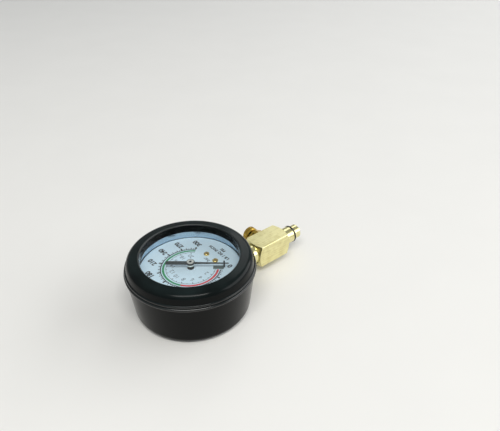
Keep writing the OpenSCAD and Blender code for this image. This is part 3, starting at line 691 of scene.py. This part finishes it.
def outer_scale(layer):
    """The ring of the psi scale, with ticks outwards."""
    lay_arc(layer, RING_IN, RING_OUT, LINES_FROM, FULL_PSI)
    for psi in range(MINOR_STEP, FULL_PSI + 1, MINOR_STEP):
        if psi % MAJOR_STEP == 0:
            tick_end, width = MAJOR_TICK
        elif psi % MIDDLE_STEP == 0:
            tick_end, width = MIDDLE_TICK
        else:
            tick_end, width = MINOR_TICK
        lay_tick(layer, RING_OUT, tick_end, width, scale_angle(psi))


def inner_scale(layer):
    """The fine arc of the bar scale, with ticks inwards."""
    lay_arc(layer, BAR_ARC_IN, BAR_ARC_OUT, LINES_FROM, FULL_PSI)
    for bar in range(1, FULL_BAR + 1):
        start, width = ODD_BAR_TICK if bar % 2 else EVEN_BAR_TICK
        lay_tick(layer, start, BAR_TICK_END, width, scale_angle(bar * PSI_PER_BAR))


def good_band(layer):
    lay_arc(layer, BAND_IN, BAND_OUT, DANGER_BELOW, FULL_PSI)


def low_band(layer):
    lay_arc(layer, BAND_IN, BAND_OUT, LINES_FROM, DANGER_BELOW)


def zero_box(layer):
    lay_tick(layer, BOX_IN, BOX_OUT, BOX_WIDTH, BOX_ANGLE)


printed("scale_psi", outer_scale, black_ink)
printed("scale_bar", inner_scale, grey_ink)
printed("band_good", good_band, green_ink)
printed("band_low", low_band, red_ink)
printed("zero_box", zero_box, slate_ink)


def figure(name, text, size, weight, place, ink, spacing=1):
    """A printed number or unit, upright on the dial, as a thin closed mesh."""
    curve = bpy.data.curves.new(name, "FONT")
    curve.body = text
    curve.size = size * MM
    # With more points the outline of a bold 6 or 8 crosses itself
    curve.resolution_u = 4
    curve.offset = weight * MM
    curve.space_character = spacing
    curve.extrude = INK * MM
    curve.align_x = "CENTER"
    curve.align_y = "CENTER"
    curve.materials.append(ink)
    piece = bpy.data.objects.new(name, curve)
    bpy.context.scene.collection.objects.link(piece)
    piece.location = (place[0] * MM, place[1] * MM, DIAL_FACE * MM)
    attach(piece, "gauge")


# The stop pin stands where the 0 would be, so the 0 is moved along the circle of figures
figure("psi_0", "0", PSI_SIZE, PSI_WEIGHT, at(ZERO_RADIUS, ZERO_FIGURE_ANGLE), black_ink)
for psi in range(MAJOR_STEP, FULL_PSI + 1, MAJOR_STEP):
    place = at(PSI_RADIUS, scale_angle(psi))
    figure(f"psi_{psi}", str(psi), PSI_SIZE, PSI_WEIGHT, place, black_ink)
for bar in range(2, FULL_BAR + 1, 2):
    place = at(BAR_RADIUS, scale_angle(bar * PSI_PER_BAR))
    figure(f"bar_{bar}", str(bar), BAR_SIZE, BAR_WEIGHT, place, grey_ink)
figure("unit_bar", "bar", BAR_UNIT_SIZE, BAR_UNIT_WEIGHT, BAR_UNIT_AT, grey_ink, BAR_UNIT_SPACING)
for name, words, place in (
    ("unit_pounds", "LB / SQ INCH", (0.7, -22.6)),
    ("unit_psi", "PSI", (0.9, -26)),
):
    figure(name, words, UNIT_SIZE, UNIT_WEIGHT, place, black_ink, UNIT_SPACING)


def studio_floor():
    """A wide pale board with a soft matt finish."""
    material, tree = new_material("pale_floor_board")
    place = add(tree, "TexCoord").outputs["Object"]
    mottle = add(tree, "TexNoise", {"Vector": place, "Scale": per_mm(60), "Detail": 3})
    shade = add(
        tree,
        "Mix",
        {"Factor": mottle.outputs["Fac"], "A": linear("#ecebe8"), "B": linear("#e8e7e4")},
        data_type="RGBA",
    )
    shader = add(
        tree, "BsdfPrincipled", {"Base Color": shade.outputs["Result"], "Roughness": 0.65}
    )
    add(tree, "OutputMaterial", {"Surface": shader.outputs[0]})
    board = bmesh.new()
    bmesh.ops.create_circle(board, cap_ends=True, segments=96, radius=4)
    mesh = bpy.data.meshes.new("floor")
    board.to_mesh(mesh)
    board.free()
    mesh.materials.append(material)
    floor = bpy.data.objects.new("floor", mesh)
    bpy.context.scene.collection.objects.link(floor)


def softbox(name, place, aim, width, height, watts, colour):
    """A rectangular lamp that points at aim. Places and sizes are in metres."""
    lamp = bpy.data.lights.new(name, "AREA")
    lamp.shape = "RECTANGLE"
    lamp.size, lamp.size_y = width, height
    lamp.energy = watts
    lamp.color = linear(colour)[:3]
    holder = bpy.data.objects.new(name, lamp)
    bpy.context.scene.collection.objects.link(holder)
    holder.location = place
    holder.rotation_euler = (Vector(aim) - Vector(place)).to_track_quat("-Z", "Y").to_euler()


studio_floor()
for name, place, aim, width, height, watts, colour in (
    # Key, above the camera
    ("top_softbox", (-0.72, 0.56, 1.7), (0, -0.02, 0.02), 1.4, 0.5, 22, "#fffdf8"),
    # Fill, low on the camera's right
    ("side_softbox", (-0.95, -1.53, 0.85), (0, -0.03, 0.02), 2.6, 1.1, 24, "#ffffff"),
    # Behind the block, for a glow along its top
    ("back_softbox", (1.02, -1.46, 1.3), (0, -0.06, 0.02), 0.7, 1.1, 3.4, "#ffffff"),
):
    softbox(name, place, aim, width, height, watts, colour)

world = bpy.data.worlds.new("studio")
world.use_nodes = True
world.node_tree.nodes.clear()
sky = add(world.node_tree, "Background", {"Color": linear("#eef2f5"), "Strength": 0.4})
add(world.node_tree, "OutputWorld", {"Surface": sky.outputs[0]})
bpy.context.scene.world = world
bpy.context.scene.view_settings.view_transform = "Standard"

lens_data = bpy.data.cameras.new("camera")
lens_data.lens = CAMERA_LENS
lens_data.sensor_width = 36
lens_data.clip_start = 0.01
camera = bpy.data.objects.new("camera", lens_data)
bpy.context.scene.collection.objects.link(camera)
camera.location = CAMERA_AT
camera.rotation_euler = (CAMERA_AIM - CAMERA_AT).to_track_quat("-Z", "Y").to_euler()
bpy.context.scene.camera = camera
